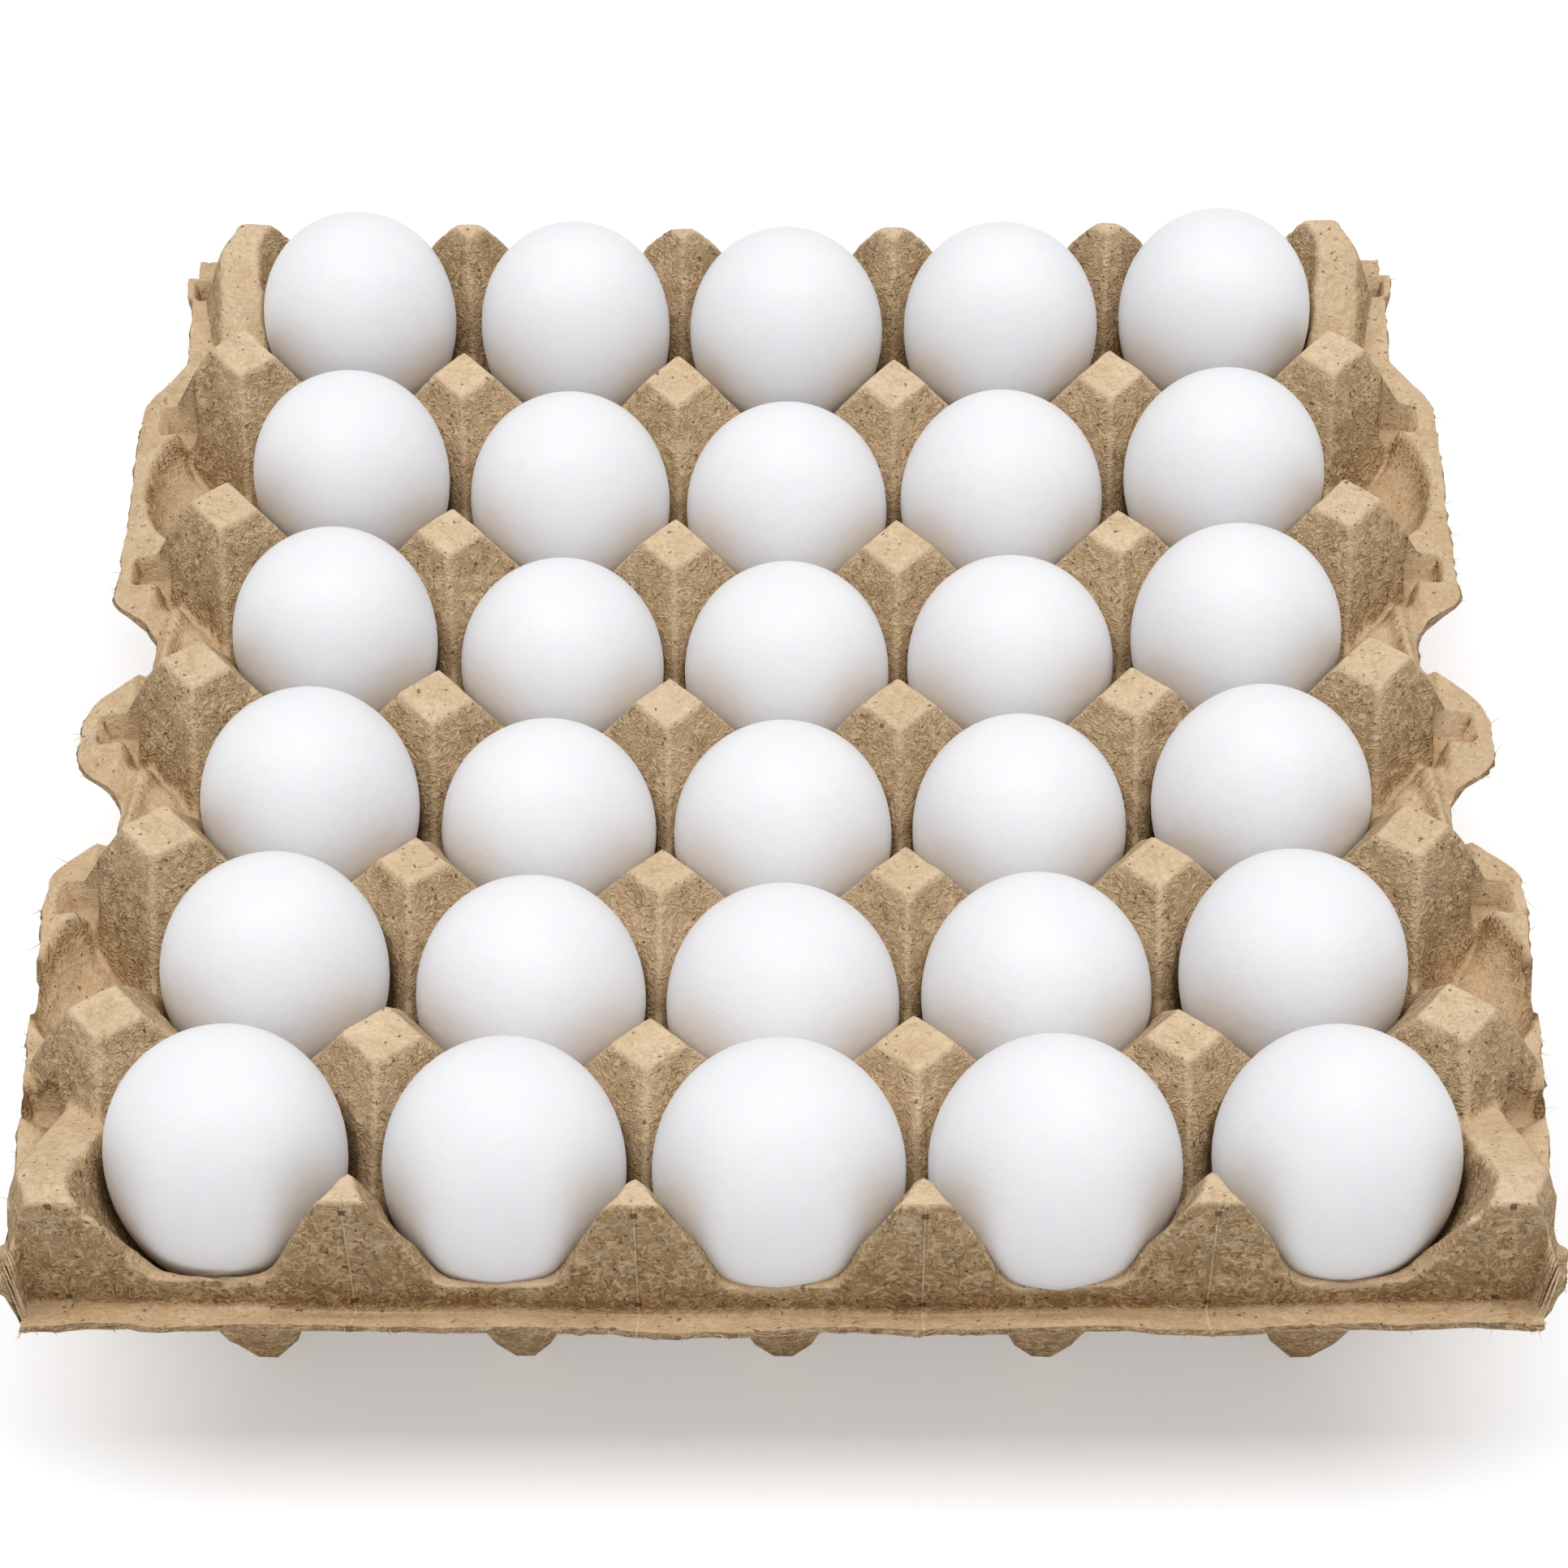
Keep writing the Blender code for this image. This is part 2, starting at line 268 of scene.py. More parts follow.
def window(v, low, high, low_soft, high_soft):
    """1 between low and high, 0 outside, with soft edges."""
    return step(v, low - low_soft, low + low_soft) * (1 - step(v, high - high_soft, high + high_soft))


def relu(v, k=0.0):
    return 0.5 * (v + np.sqrt(v * v + k * k))


def smax(a, b, k):
    return 0.5 * (a + b + np.sqrt((a - b) ** 2 + k * k))


def smin(a, b, k):
    return 0.5 * (a + b - np.sqrt((a - b) ** 2 + k * k))


def soft_abs(v, e):
    return np.sqrt(v * v + e * e) - e * 0.5


def lumps(x, y, z, cell, offset=0.0):
    """Smooth random values between -1 and 1, on a lattice of the given cell size."""
    p = np.stack([x, y, z], -1) / cell + offset
    base = np.floor(p).astype(int)
    f = p - base
    f = f * f * (3 - 2 * f)
    total = 0.0
    for a in (0, 1):
        for b in (0, 1):
            for c in (0, 1):
                i = (base + (a, b, c)) % 48
                w = (f[..., 0] if a else 1 - f[..., 0]) * (f[..., 1] if b else 1 - f[..., 1])
                w = w * (f[..., 2] if c else 1 - f[..., 2])
                total = total + w * LATTICE[i[..., 0], i[..., 1], i[..., 2]]
    return total


def edge_share(v, half):
    """1 in the middle, 0 at the edges."""
    t = np.minimum(np.abs(v) / half, 1.1)
    return 1 - t * t


def sag(x, y):
    """How far the loaded tray hangs below its corners."""
    across = edge_share(x, HALF_X)
    along = edge_share(y, HALF_Y)
    drop = SAG_MIDDLE * across * along
    drop = drop + SAG_SIDES * along * (1 - across) + SAG_ENDS * across * (1 - along)
    return np.minimum(drop, SAG_MOST)


def warp(x, y, z):
    """The flat tray's points, moved to where the loaded and warped tray has them."""
    waist = WAIST * edge_share(y, HALF_Y) * x / HALF_X
    return x - waist, y, z - sag(x, y) + REST_HEIGHT


def nearest(v, half, pitch, count):
    """The index of the nearest line of posts, and the distance from it."""
    index = np.clip(np.round((v + half) / pitch), 0, count).astype(int)
    return index, v - (index * pitch - half)


def cell_middle(v, half, pitch, count):
    return (np.clip(np.floor((v + half) / pitch), 0, count - 1) + 0.5) * pitch - half


def egg_seat(x, y):
    """How far below the post tops the eggs' middles lie."""
    middle = EGG_SEAT_MIDDLE * edge_share(x, HALF_X) * edge_share(y, HALF_Y)
    return EGG_SEAT + middle - EGG_SEAT_FRONT * y / HALF_Y


def foot_distance(x, y):
    """The distance from the middle of the cell, with rounded squares as its level lines."""
    u = np.abs(x - cell_middle(x, HALF_X, PITCH_X, COLUMNS))
    v = np.abs(y - cell_middle(y, HALF_Y, PITCH_Y, ROWS))
    return (u ** 3 + v ** 3) ** (1 / 3)


def bowls(x, y):
    """The surface of the cups that hold the eggs, and a height above the posts between them."""
    cx = cell_middle(x, HALF_X, PITCH_X, COLUMNS)
    cy = cell_middle(y, HALF_Y, PITCH_Y, ROWS)
    share = np.clip(np.hypot(x - cx, y - cy) / (EGG_RADIUS + BOWL_CLEARANCE), 0.0, 1.0)
    depth = EGG_RADIUS * EGG_POINT_RATIO * np.sqrt(1 - share * share)
    surface = -egg_seat(cx, cy) - depth - BOWL_CLEARANCE
    return np.where(share < 1.0, surface, 6.0)


def posts(x, y):
    """Posts and the ridges between them. Each post differs a little from the next."""
    i, dx = nearest(x, HALF_X, PITCH_X, COLUMNS)
    j, dy = nearest(y, HALF_Y, PITCH_Y, ROWS)
    near = 1 - step(np.abs(dx) + np.abs(dy), *POST_REACH)
    dx = dx - POST_SHIFT[0, j, i] * near
    dy = dy - (POST_SHIFT[1, j, i] + FRONT_POST_SHIFT * (j == 0)) * near
    rim = (i == 0) | (i == COLUMNS) | (j == 0) | (j == ROWS)
    top = (RIM_POST_TOP * rim + POST_TOP[j, i]) * near
    lean = (POST_LEAN[0, j, i] * dx + POST_LEAN[1, j, i] * dy) * near
    d = soft_abs(dx, POST_CORNER) + soft_abs(dy, POST_CORNER)
    dome = POST_DOME * np.minimum(d, POST_HALF) ** 2 * near
    slope = RIDGE_SLOPE + (OUTER_SLOPE - RIDGE_SLOPE) * step(np.abs(x), HALF_X, HALF_X + POST_HALF)
    surface = top + lean - dome - slope * relu(d - POST_HALF - POST_SIZE[j, i] * near, POST_EDGE)
    end_x, end_y = POSTS_END
    return np.where((np.abs(x) > end_x) & (np.abs(y) > end_y), BURIED, surface)


def side_base(x, y):
    """The flange and what lies between it and the side posts."""
    ax, ay = np.abs(x), np.abs(y)
    base = FLANGE - FLANGE_EDGE_FALL * relu(ax - FLANGE_EDGE_X)
    base = base - FLANGE_DIP * (1 - step(ax, *FLANGE_DIP_X))
    # Pockets beside the second row from each end.
    square = ((ax - POCKET_X) / POCKET_HALF_X) ** 2 + ((ay - POCKET_Y) / POCKET_HALF_Y) ** 2
    base = base - POCKET_DEPTH * np.clip(1 - square, 0.0, 1.0) ** POCKET_ROUNDNESS
    # Shelves with a low rib beside the two middle rows.
    skew = RIB_SKEW * (y - cell_middle(y, HALF_Y, PITCH_Y, ROWS))
    rib = RIB_HEIGHT * np.exp(-(((ax - RIB_X + skew) / RIB_HALF) ** 2))
    shelf = SHELF + rib - SHELF_DIP * (1 - step(ax, *SHELF_DIP_X))
    base = base + (1 - step(ay, *SHELF_Y)) * (ax < SHELF_OUTER_X) * (shelf - base)
    # A valley in front of each side post runs out to the recess at its crest's end.
    along = window(ax, *VALLEY_SPAN)
    for row in RECESSES:
        line = row * PITCH_Y + VALLEY_Y + VALLEY_RUN * (ax - VALLEY_X)
        base = base - VALLEY_DEPTH * np.exp(-(((y - line) / VALLEY_HALF) ** 2)) * along
    # The flange turns down at the corners to meet the lip.
    return base - FLANGE_TURN * step(ay, *FLANGE_TURN_Y)


def recesses(x, y, height):
    ax = np.abs(x)
    for row, (inner, outer, front, back) in RECESSES.items():
        front, back = row * PITCH_Y + front, row * PITCH_Y + back
        cut = window(ax, inner, outer, RECESS_INNER_EDGE, RECESS_OUTER_EDGE)
        cut = cut * window(y, front, back, RECESS_FRONT_EDGE, RECESS_EDGE)
        floor = RECESS_FLOOR + RECESS_FLOOR_SLOPE * relu(back - RECESS_FLAT - y)
        height = height + cut * (np.minimum(height, floor) - height)
    inner, outer, front, back = BACK_RECESS
    cut = window(ax, inner, outer, BACK_RECESS_EDGE, BACK_RECESS_EDGE)
    cut = cut * window(y, front, back, RECESS_INNER_EDGE, RECESS_EDGE)
    return height + cut * (np.minimum(height, RECESS_FLOOR) - height)


def crack(x, y):
    """A short tear in the sill, with one lip of it lifted."""
    nearest_gap = np.full_like(x, 99.0)
    side = np.zeros_like(x)
    for (x0, y0), (x1, y1) in zip(CRACK, CRACK[1:]):
        dx, dy = x1 - x0, y1 - y0
        length = math.hypot(dx, dy)
        t = np.clip(((x - x0) * dx + (y - y0) * dy) / length ** 2, 0.0, 1.0)
        gap = np.hypot(x - x0 - t * dx, y - y0 - t * dy)
        closer = gap < nearest_gap
        nearest_gap = np.where(closer, gap, nearest_gap)
        side = np.where(closer, ((x - x0) * dy - (y - y0) * dx) / length, side)
    groove = -CRACK_DEPTH * np.exp(-((nearest_gap / CRACK_HALF) ** 2))
    lifted = CRACK_LIFT * np.exp(-(((side - 0.9) / 0.8) ** 2)) * (nearest_gap < 3.0)
    return (groove + lifted) * window(x, *CRACK_FADE)


def strips(x, y):
    """Corner blocks, falling slowly beside the corner egg and steeply to the flange."""
    ax, ay = np.abs(x), np.abs(y)
    outer = STRIP_OUTER_X - STRIP_OUTER_TURN * step(ay, *STRIP_OUTER_TURN_Y)
    inner = STRIP_X - STRIP_TURN * step(ay, *STRIP_TURN_Y)
    inner_slope = STRIP_INNER_SLOPE - STRIP_BACK_EASE * step(y, *STRIP_BACK_Y)
    top = BLOCK_TOP - STRIP_FALL * relu(STRIP_FROM_Y - ay, 3.0)
    top = top - inner_slope * relu(inner - ax, STRIP_SOFT)
    return top - STRIP_OUTER_SLOPE * relu(ax - outer, STRIP_SOFT)


def arches(x, y):
    """The rim of the front and back faces: over the half posts, the corner blocks and the sill."""
    ax = np.abs(x)
    back = y > 0
    _, dx = nearest(x, HALF_X, PITCH_X, COLUMNS)
    slope = np.where(back, BACK_ARCH_SLOPE, ARCH_SLOPE)
    half = np.where(back, BACK_ARCH_HALF, ARCH_HALF)
    softness = np.where(back, BACK_ARCH_SOFT, ARCH_SOFT)
    arch = RIM_POST_TOP + RIM_SLACK - slope * relu(np.abs(dx) - half, softness)
    arch = arch - back * BACK_ARCH_FALL * relu(np.abs(dx) - BACK_ARCH_REACH, 2.0)
    arch = np.where(ax > ARCHES_END_X, BURIED, arch)
    slope = np.where(back, BACK_CORNER_SLOPE, CORNER_SLOPE)
    corner = BLOCK_TOP + RIM_SLACK - slope * relu(CORNER_ARCH_X - ax, 0.6)
    corner = corner - back * BACK_ARCH_FALL * relu(BACK_CORNER_REACH - ax, 2.0)
    arch = smax(arch, corner, 0.3)
    sill = SILL + 0.35 * np.sin(x / 9.0) + 0.3 * np.sin(x / 4.1 + 1.0)
    return smax(arch, sill, 3.2)


def lip_height(x, y):
    """The thin lip below each face, wavy and drooping a little left of the middle."""
    ay = np.abs(y)
    wave = -LIP_WAVE * np.cos(2 * math.pi * (x - HALF_X) / PITCH_X)
    droop = LIP_DROOP * edge_share(x - LIP_DROOP_X, LIP_DROOP_HALF)
    wander = 0.55 * np.sin(x / 17.0 + 0.6 * np.sign(y)) + 0.3 * np.sin(x / 7.3)
    rise = LIP_RISE * (ay - LIP_FOOT_Y)
    return LIP_HEIGHT + rise - droop + wave + wander * step(ay, 141.5, 144.5)


def height(x, y):
    """The upper surface of the flat tray."""
    ax, ay = np.abs(x), np.abs(y)
    base = side_base(x, y) - FLANGE_ROOT_SLOPE * relu(FLANGE_ROOT_X - ax, 1.5)
    surface = smax(posts(x, y), base, 0.35)
    surface = smax(surface, strips(x, y), 0.5)
    surface = recesses(x, y, surface)
    # The faces cut the posts down to their rim, except beyond the corner blocks.
    arch = arches(x, y)
    limit = arch + RIM_SLOPE * relu(RIM_Y - ay, 1.0) + 40.0 * step(ax, *RIM_ENDS_X)
    surface = smin(surface, limit, 0.35)
    surface = smin(surface, bowls(x, y), 0.5)
    sill = np.minimum(arch, SILL + 0.6) - 2.6 * relu(138.3 - ay, 0.4)
    surface = smax(surface, sill, 0.5)
    surface = smax(surface, np.full_like(x, CELL_FLOOR), 2.0)
    # Cells are hollow down into their feet.
    foot = FOOT_FLOOR + FOOT_SLOPE * relu(foot_distance(x, y) - FOOT_HALF + FOOT_WALL, 0.5)
    surface = np.minimum(surface, sag(x, y) - REST_HEIGHT + foot)
    face = RIM_POST_TOP + RIM_SLACK - FACE_SLOPE * relu(ay - CUT_Y, 0.2)
    surface = smin(surface, face + 60.0 * step(ax, *FACE_ENDS_X), 0.25)
    lip = lip_height(x, y) - 12.0 * relu(139.8 - ay, 0.2)
    surface = smax(surface, lip, 0.4)
    return surface + crack(x, y)


def rough(v, *layers):
    """Unevenness along an edge, as a sum of lumps of several sizes."""
    return sum(amount * lumps(v, v * 0, v * 0, cell, offset) for amount, cell, offset in layers)


def reach(y):
    """How far out the side flange's edge lies."""
    beyond = relu(-y - FRONT_TAPER_Y)
    front = FRONT_TAPER * beyond + FRONT_TAPER_CURVE * beyond ** 2
    back = BACK_STEP * step(y, *BACK_STEP_Y)
    notch = sum(NOTCH_DEPTH * (1 - step(np.abs(y - middle), *NOTCH_HALF)) for middle in NOTCH_MIDDLES)
    lug = FRONT_LUG * window(-y, *FRONT_LUG_Y, LUG_SOFT, LUG_SOFT)
    lug = lug + BACK_LUG * window(y, *BACK_LUG_Y, LUG_SOFT, LUG_SOFT)
    tab = TAB * (1 - step(np.abs(y - TAB_MIDDLE), *TAB_HALF))
    return FLANGE_REACH - front - back - notch + lug + tab + rough(y, (0.5, 5.0, 3.3), (0.3, 1.8, 7.7))


def lip_reach(x):
    """How far out the lip's edge lies."""
    corner = LIP_CORNER * step(np.abs(x), *LIP_CORNER_X)
    return LIP_Y + corner + rough(x, (0.5, 6.0, 11.1), (0.3, 1.9, 17.3))


def stretched(v, start, far, edge):
    """Values beyond start moved in proportion, so that far comes to lie on the edge."""
    share = np.clip((np.abs(v) - start) / (far - start), 0.0, 1.0)
    return np.copysign(np.where(np.abs(v) > start, start + share * (edge - start), np.abs(v)), v)


def plan(across, along):
    """Grid lines as points in plan. The outermost lines follow the tray's ragged outline."""
    x, y = np.meshgrid(across, along)
    out_x = stretched(x, EDGE_X, across[-1], reach(y))
    return out_x, stretched(y, EDGE_Y, along[-1], lip_reach(out_x))


def symmetric(values):
    values = np.asarray(values)
    return np.concatenate([-values[::-1], values[1:] if values[0] == 0 else values])


def spread(edges, counts):
    """Distances from a line of posts, closest together over the posts themselves."""
    runs = zip(edges, edges[1:], counts)
    return np.concatenate([np.linspace(low, high, count, endpoint=False) for low, high, count in runs])


def around(lines, beside):
    return np.concatenate([line + side for line in lines for side in (-beside, beside)])


def grid_lines():
    """The mesh's lines in x and in y, with pairs of lines at the recesses' crisp walls."""
    lines = HALF_X - PITCH_X * np.arange(COLUMNS // 2 + 1)
    across = np.concatenate([around(lines, spread(BESIDE_X, BESIDE_X_LINES)), lines - PITCH_X / 2])
    across = np.unique(np.round(across[(across >= 0) & (across < EDGE_X - 0.4)], 6))
    across = symmetric(np.concatenate([across, np.linspace(EDGE_X, FLANGE_REACH, EDGE_X_LINES)]))

    crisp = np.array([BACK_RECESS[3]] + [abs(row * PITCH_Y + recess[3]) for row, recess in RECESSES.items()])
    lines = HALF_Y - PITCH_Y * np.arange(ROWS // 2 + 1)
    lines[0] -= FRONT_POST_SHIFT
    middles = [PITCH_Y / 2, PITCH_Y * 1.5, OUTER_CELL_Y]
    plain = np.concatenate([around(lines, spread(BESIDE_Y, BESIDE_Y_LINES)), middles])
    plain = np.unique(np.round(plain, 6))
    plain = plain[(plain >= 0) & (plain < FACE_LINES[0] - 0.4)]
    plain = plain[np.concatenate([[True], np.diff(plain) > 0.3])]
    plain = plain[np.abs(plain[:, None] - crisp[None, :]).min(1) > 0.5]
    walls = np.concatenate([crisp - RECESS_EDGE, crisp + RECESS_EDGE])
    along = np.concatenate([[0.0], plain, walls, np.arange(*FACE_LINES), np.linspace(*LIP_LINES)])
    return across, symmetric(np.sort(along))


def offset_below(x, y, thickness):
    """The underside, everywhere one wall's thickness under the upper surface."""
    low = height(x, y) - thickness
    for radius in (0.55, 0.9, 0.99):
        drop = thickness * math.sqrt(1 - radius * radius)
        for k in range(12):
            turn = math.pi * k / 6
            u, v = radius * thickness * math.cos(turn), radius * thickness * math.sin(turn)
            low = np.minimum(low, height(x + u, y + v) - drop)
    return low


def feet(x, y, low):
    """Flat-bottomed feet under the cells, all standing on the floor."""
    ground = sag(x, y) - REST_HEIGHT
    foot = ground + FOOT_SLOPE * relu(foot_distance(x, y) - FOOT_HALF, 0.4)
    return np.maximum(np.minimum(low, foot), ground)


def normals(x, y, z):
    p = np.stack([x, y, z], -1)
    du = np.gradient(p, axis=1)
    dv = np.gradient(p, axis=0)
    n = np.cross(du, dv)
    return n / np.maximum(np.linalg.norm(n, axis=-1, keepdims=True), 1e-9)


def rippled(x, y, z, amounts):
    """The surface moved along its normals by the lumps of wet-laid pulp."""
    n = normals(x, y, z)
    move = 0.0
    for cell, amount, offset in amounts:
        move = move + amount * lumps(x, y, z, cell, offset)
    return x + n[..., 0] * move, y + n[..., 1] * move, z + n[..., 2] * move


def grid_triangles(xs, ys, flip):
    """Two triangles a square, split so that the diagonals run around the posts."""
    rows, columns = xs.shape
    index = np.arange(rows * columns).reshape(rows, columns)
    a, b = index[:-1, :-1].ravel(), index[:-1, 1:].ravel()
    d, c = index[1:, :-1].ravel(), index[1:, 1:].ravel()
    mx = ((xs[:-1, :-1] + xs[1:, 1:]) / 2).ravel()
    my = ((ys[:-1, :-1] + ys[1:, 1:]) / 2).ravel()
    side_x = ((mx + HALF_X) / PITCH_X + 0.5) % 1.0 - 0.5
    side_y = ((my + HALF_Y) / PITCH_Y + 0.5) % 1.0 - 0.5
    forward = side_x * side_y < 0
    first = np.where(forward[:, None], np.stack([a, b, c], 1), np.stack([a, b, d], 1))
    second = np.where(forward[:, None], np.stack([a, c, d], 1), np.stack([b, c, d], 1))
    faces = np.concatenate([first, second])
    return faces[:, ::-1] if flip else faces


def border(shape):
    """Indices of a grid's outer ring, anticlockwise, without repeating the first."""
    rows, columns = shape
    index = np.arange(rows * columns).reshape(rows, columns)
    return np.concatenate([index[0, :-1], index[:-1, -1], index[-1, :0:-1], index[:0:-1, 0]])


def rim_wall(upper, middle, lower):
    """A narrow band that joins the fine upper ring to the coarser lower one, through a middle ring."""
    faces = []
    n = len(upper)
    for k in range(n):
        u0, u1 = upper[k], upper[(k + 1) % n]
        m0, m1 = middle[k], middle[(k + 1) % n]
        faces += [(u0, m0, m1), (u0, m1, u1)]
    for k in range(0, n, 2):
        m0, m1, m2 = middle[k], middle[k + 1], middle[(k + 2) % n]
        l0, l1 = lower[k // 2], lower[(k // 2 + 1) % len(lower)]
        faces += [(m0, l0, m1), (m1, l0, l1), (m1, l1, m2)]
    return faces


def mesh_object(name, points, faces, material):
    mesh = bpy.data.meshes.new(name)
    faces = np.asarray(faces, dtype=np.int32)
    mesh.vertices.add(len(points))
    mesh.vertices.foreach_set("co", np.asarray(points, dtype=np.float32).ravel())
    mesh.loops.add(faces.size)
    mesh.loops.foreach_set("vertex_index", faces.ravel())
    mesh.polygons.add(len(faces))
    size = faces.shape[1]
    mesh.polygons.foreach_set("loop_start", np.arange(0, faces.size, size, dtype=np.int32))
    mesh.polygons.foreach_set("loop_total", np.full(len(faces), size, dtype=np.int32))
    mesh.update(calc_edges=True)
    mesh.validate()
    mesh.shade_smooth()
    mesh.materials.append(material)
    made = bpy.data.objects.new(name, mesh)
    bpy.context.collection.objects.link(made)
    return made


def egg_place(cad_name):
    """The middle and the radius of an egg, from its CAD solid's box."""
    low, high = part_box(cad_name)
    low, high = Vector(low) / MM, Vector(high) / MM
    radius = (high.z - low.z) / (EGG_TOP_RATIO + EGG_POINT_RATIO)
    middle = (low + high) / 2
    return Vector((middle.x, middle.y, high.z - radius * EGG_TOP_RATIO)), radius


def below_eggs(x, y, z):
    """The underside, lowered wherever an egg would come through it."""
    for name in EGG_NAMES:
        centre, radius = egg_place(name)
        share = np.hypot(x - centre.x, y - centre.y) / (radius + EGG_MARGIN)
        bottom = centre.z - radius * EGG_POINT_RATIO * np.sqrt(1 - np.minimum(share, 1.0) ** 2)
        z = np.where(share < 1.0, np.minimum(z, bottom - PULP_BELOW_EGG), z)
    return z


def mark(piece, name, values):
    """Store a number or a vector for each point of a piece, for its material to read."""
    kind, field = ("FLOAT_VECTOR", "vector") if values.ndim == 2 else ("FLOAT", "value")
    made = piece.data.attributes.new(name, kind, "POINT")
    made.data.foreach_set(field, values.astype(np.float32).ravel())


def build_tray(material):
    """The tray's upper surface, its underside with the cut edge, and the points along that edge."""
    across, along = grid_lines()
    if len(across) % 2 == 0 or len(along) % 2 == 0:
        raise ValueError("The grid needs an odd number of lines each way.")
    x, y = plan(across, along)
    z = height(x, y)
    flat_upper = np.stack([x, y, z], -1)
    ux, uy, uz = rippled(x, y, z, ((9.0, 0.2, 0.0), (3.6, 0.1, 5.5), (1.7, 0.07, 9.1)))
    ux, uy, uz = warp(ux, uy, uz)

    lx, ly = x[::2, ::2], y[::2, ::2]
    lz = feet(lx, ly, offset_below(lx, ly, WALL))
    flat_lower = np.stack([lx, ly, lz], -1)
    lx, ly, lz = rippled(lx, ly, lz, ((9.0, 0.3, 2.0), (4.0, 0.2, 6.5)))
    lx, ly, lz = warp(lx, ly, lz)
    lz = np.maximum(below_eggs(lx, ly, lz), 0.0)

    upper = np.stack([ux, uy, uz], -1).reshape(-1, 3)
    lower = np.stack([lx, ly, lz], -1).reshape(-1, 3)
    ring_upper = border(ux.shape)
    below = border(lx.shape)
    # The middle ring bulges out a little, so that the cut edge is round and fibrous.
    top_ring = upper[ring_upper]
    low_ring = lower[below]
    low_fine = np.empty_like(top_ring)
    low_fine[::2] = low_ring
    low_fine[1::2] = (low_ring + np.roll(low_ring, -1, axis=0)) / 2
    middle = top_ring * 0.45 + low_fine * 0.55
    outward = middle[:, :2] / np.linalg.norm(middle[:, :2], axis=1, keepdims=True)
    bulge = 0.5 + 0.4 * lumps(middle[:, 0], middle[:, 1], middle[:, 2], 1.9, 4.4)
    bulge = bulge + 0.4 * lumps(middle[:, 0], middle[:, 1], middle[:, 2], 0.8, 14.4)
    middle[:, :2] += outward * bulge[:, None]

    tray = mesh_object("pulp_tray", upper * MM, grid_triangles(x, y, False), material)
    # The underside and the cut edge are a piece of their own: the upper ring is repeated at its end.
    points = np.concatenate([lower, middle, top_ring])
    ring = len(ring_upper)
    between = np.arange(len(lower), len(lower) + ring)
    above = between + ring
    faces = [grid_triangles(x[::2, ::2], y[::2, ::2], True), np.asarray(rim_wall(above, between, below))]
    under = mesh_object("pulp_underside", points * MM, np.concatenate(faces), material)

    mark(tray, "flat", flat_upper.reshape(-1, 3))
    flat_ring = flat_upper.reshape(-1, 3)[ring_upper]
    mark(under, "flat", np.concatenate([flat_lower.reshape(-1, 3), flat_ring, flat_ring]))
    cut = np.concatenate([np.zeros(len(lower)), np.ones(ring), np.full(ring, 0.45)])
    cut[below] = 0.8
    mark(under, "cut", cut)
    # How far each point stands out from what surrounds it: the material paints crests and rims lighter, a
    # painted highlight where they catch the light.
    blur = z.copy()
    for _ in range(6):
        padded = np.pad(blur, 1, mode="edge")
        blur = (padded[:-2, 1:-1] + padded[2:, 1:-1] + padded[1:-1, :-2] + padded[1:-1, 2:]) / 4
    mark(tray, "crest", np.clip((z - blur) / 1.2, -1.0, 1.0).ravel())
    return tray, under, middle


def build_fuzz(edge, material):
    """Loose fibres that stand out from the cut edge."""
    chance = random.Random(7)
    points, faces = [], []
    count = len(edge)
    for _ in range(FIBRES):
        k = chance.randrange(count)
        root = Vector(edge[k])
        outward = Vector((root.x, root.y, 0.0)).normalized()
        if abs(root.x) > SIDE_EDGE_X and abs(root.y) < END_EDGE_Y:
            outward = Vector((math.copysign(1.0, root.x), 0.0, 0.0))
        elif abs(root.y) > END_EDGE_Y:
            outward = Vector((0.0, math.copysign(1.0, root.y), 0.0))
        along = Vector((-outward.y, outward.x, 0.0))
        length = chance.uniform(0.5, 1.3) if chance.random() < 0.85 else chance.uniform(1.5, 3.0)
        heading = outward + along * chance.uniform(-1.1, 1.1) + Vector((0, 0, chance.uniform(-0.8, 0.6)))
        heading.normalize()
        bend = Vector((chance.uniform(-1, 1), chance.uniform(-1, 1), chance.uniform(-1, 1))) * 0.35
        radius = chance.uniform(0.06, 0.13)
        root = root - outward * 0.4 + Vector((0, 0, chance.uniform(-0.8, 0.8)))
        start = len(points)
        steps = 4
        for s in range(steps + 1):
            t = s / steps
            centre = root + heading * length * t + bend * length * t * t
            side = heading.cross(Vector((0, 0, 1)))
            side = side.normalized() if side.length > 0.05 else along
            lift = side.cross(heading).normalized()
            size = radius * (1 - 0.75 * t)
            for turn in (0.0, 2.1, 4.2):
                points.append(centre + side * size * math.cos(turn) + lift * size * math.sin(turn))
        for s in range(steps):
            for q in range(3):
                a = start + s * 3 + q
                b = start + s * 3 + (q + 1) % 3
                faces.append((a, b, b + 3))
                faces.append((a, b + 3, a + 3))
        last = start + steps * 3
        faces.append((last, last + 1, last + 2))
    return mesh_object("pulp_fuzz", np.array([tuple(p) for p in points]) * MM, faces, material)


